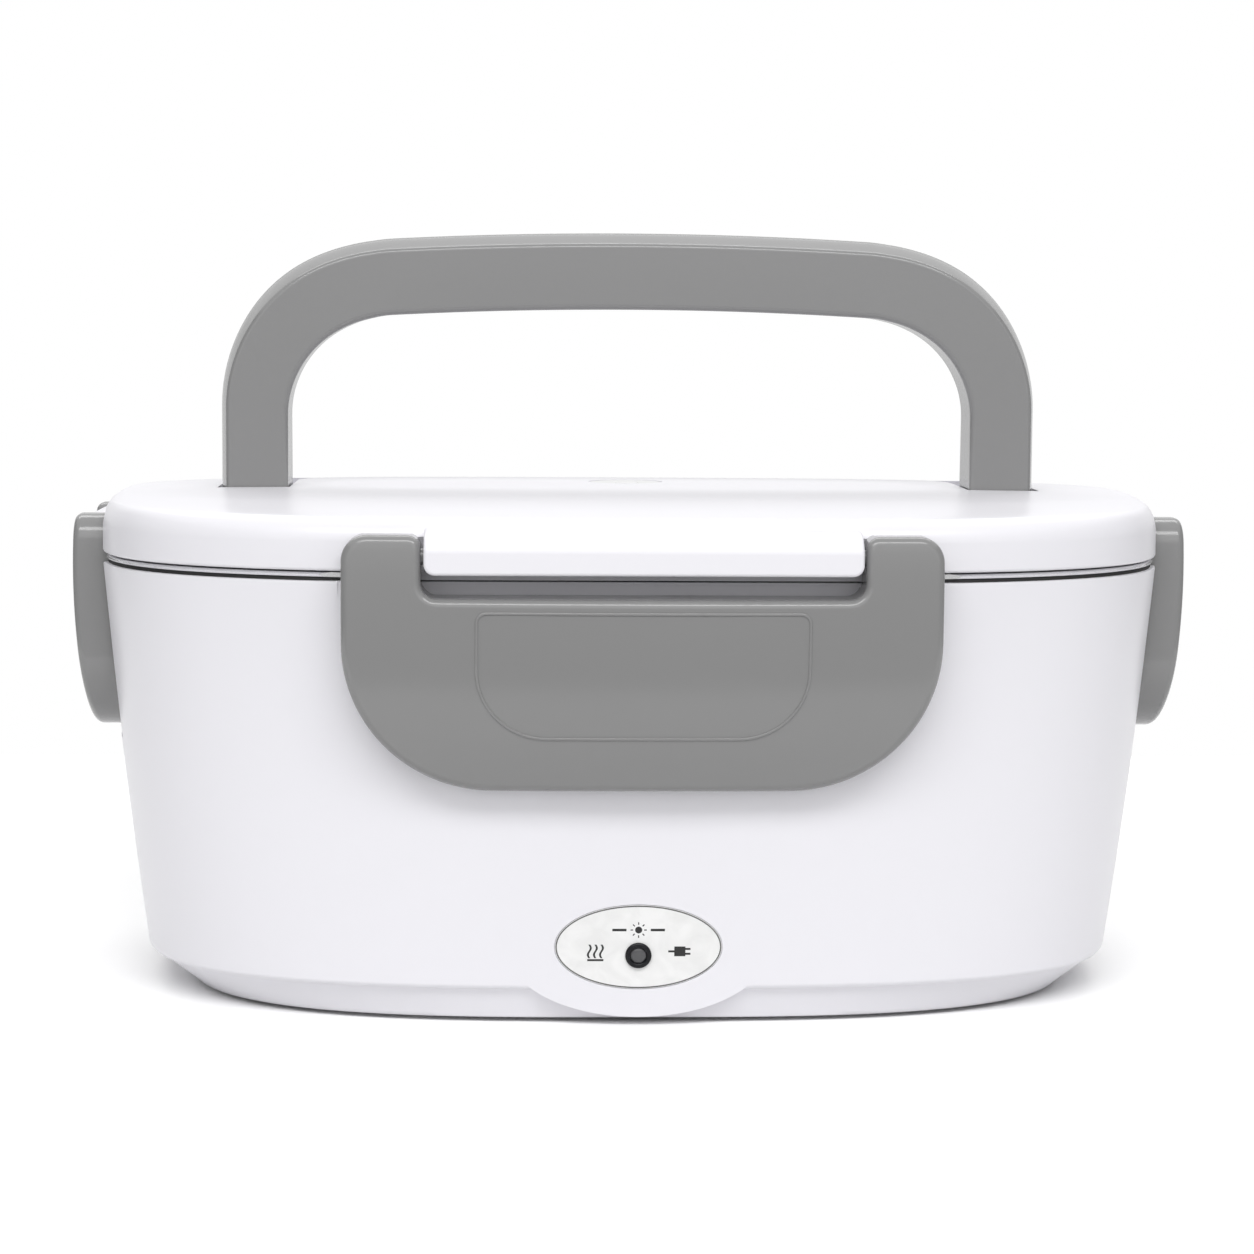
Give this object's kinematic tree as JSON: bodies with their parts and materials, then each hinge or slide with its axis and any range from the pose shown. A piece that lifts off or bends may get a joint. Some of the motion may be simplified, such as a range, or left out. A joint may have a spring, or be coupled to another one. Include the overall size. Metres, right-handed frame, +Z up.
{
  "type": "electric lunch box",
  "caption": "Heated lunch box with a tapered white body, lift-off latched lid over a steel pot, grey snap latches and a fold-back carrying handle.",
  "frame": {"origin": "centre of the footprint, on the surface that the feet rest on", "axes": "+Z up, +X to the right along the long side, +Y from the lamp side to the socket side"},
  "size_m": [0.234, 0.172, 0.1576],
  "materials": {
    "body_white": "glossy moulded",
    "tub_white": "satin moulded",
    "grip_grey": "glossy moulded",
    "pot_steel": "brushed",
    "screw_steel": "plated",
    "heater_aluminium": "satin",
    "element_dark": "matt",
    "contact_brass": "plain",
    "fuse_ceramic": "matt",
    "wire_cover": "satin",
    "board_green": "satin",
    "lamp_red": "clear moulded",
    "lamp_smoke": "smoked clear",
    "label_pale": "satin film",
    "socket_black": "moulded",
    "gasket_dark": "matt",
    "seal_silicone": "satin",
    "foot_rubber": "matt"
  },
  "bodies": {
    "base": {"outer_shell": "body_white", "base_cover": "body_white", "base_screws": "screw_steel", "rubber_feet": "foot_rubber", "heating_tub": "tub_white", "heater_plate": "heater_aluminium", "heater_elements": "element_dark", "heater_straps": "screw_steel", "strap_screws": "screw_steel", "thermostat": "contact_brass", "thermal_fuse": "fuse_ceramic", "wiring": "wire_cover", "lamp_board": "board_green", "lamp_led": "lamp_red", "lamp_lens": "lamp_smoke", "lamp_bezel": "socket_black", "label_plate": "label_pale", "ac_inlet": "socket_black", "ac_pins": "contact_brass", "dc_inlet": "socket_black", "dc_pin": "contact_brass", "pot_gasket": "gasket_dark", "steel_pot": "pot_steel"},
    "lid": {"lid_shell": "body_white", "lid_liner": "tub_white", "liner_screws": "screw_steel", "lid_seal": "seal_silicone"},
    "vent": {"vent_plug": "seal_silicone"},
    "handle": {"handle": "grip_grey", "handle_pins": "screw_steel"},
    "latch_front": {"latch_front": "grip_grey"},
    "latch_back": {"latch_back": "grip_grey"},
    "latch_left": {"latch_left": "grip_grey"},
    "latch_right": {"latch_right": "grip_grey"}
  },
  "joints": [
    {"name": "lid_lift", "type": "slide", "parent": "base", "child": "lid", "axis": [0, 0, 1], "range_m": [0, 0.12]},
    {"name": "vent_pull", "type": "slide", "parent": "lid", "child": "vent", "axis": [0, 0, 1], "range_m": [0, 0.012]},
    {"name": "handle_fold", "type": "hinge", "parent": "lid", "child": "handle", "pos_m": [0, -0.004, 0.0985], "axis": [-1, 0, 0], "range_deg": [0, 90]},
    {"name": "front_latch_swing", "type": "hinge", "parent": "lid", "child": "latch_front", "pos_m": [0, -0.08, 0.0942], "axis": [-1, 0, 0], "range_deg": [0, 130]},
    {"name": "back_latch_swing", "type": "hinge", "parent": "lid", "child": "latch_back", "pos_m": [0, 0.08, 0.0942], "axis": [1, 0, 0], "range_deg": [0, 130]},
    {"name": "left_latch_swing", "type": "hinge", "parent": "lid", "child": "latch_left", "pos_m": [-0.112, 0, 0.0942], "axis": [0, 1, 0], "range_deg": [0, 130]},
    {"name": "right_latch_swing", "type": "hinge", "parent": "lid", "child": "latch_right", "pos_m": [0.112, 0, 0.0942], "axis": [0, -1, 0], "range_deg": [0, 130]}
  ]
}
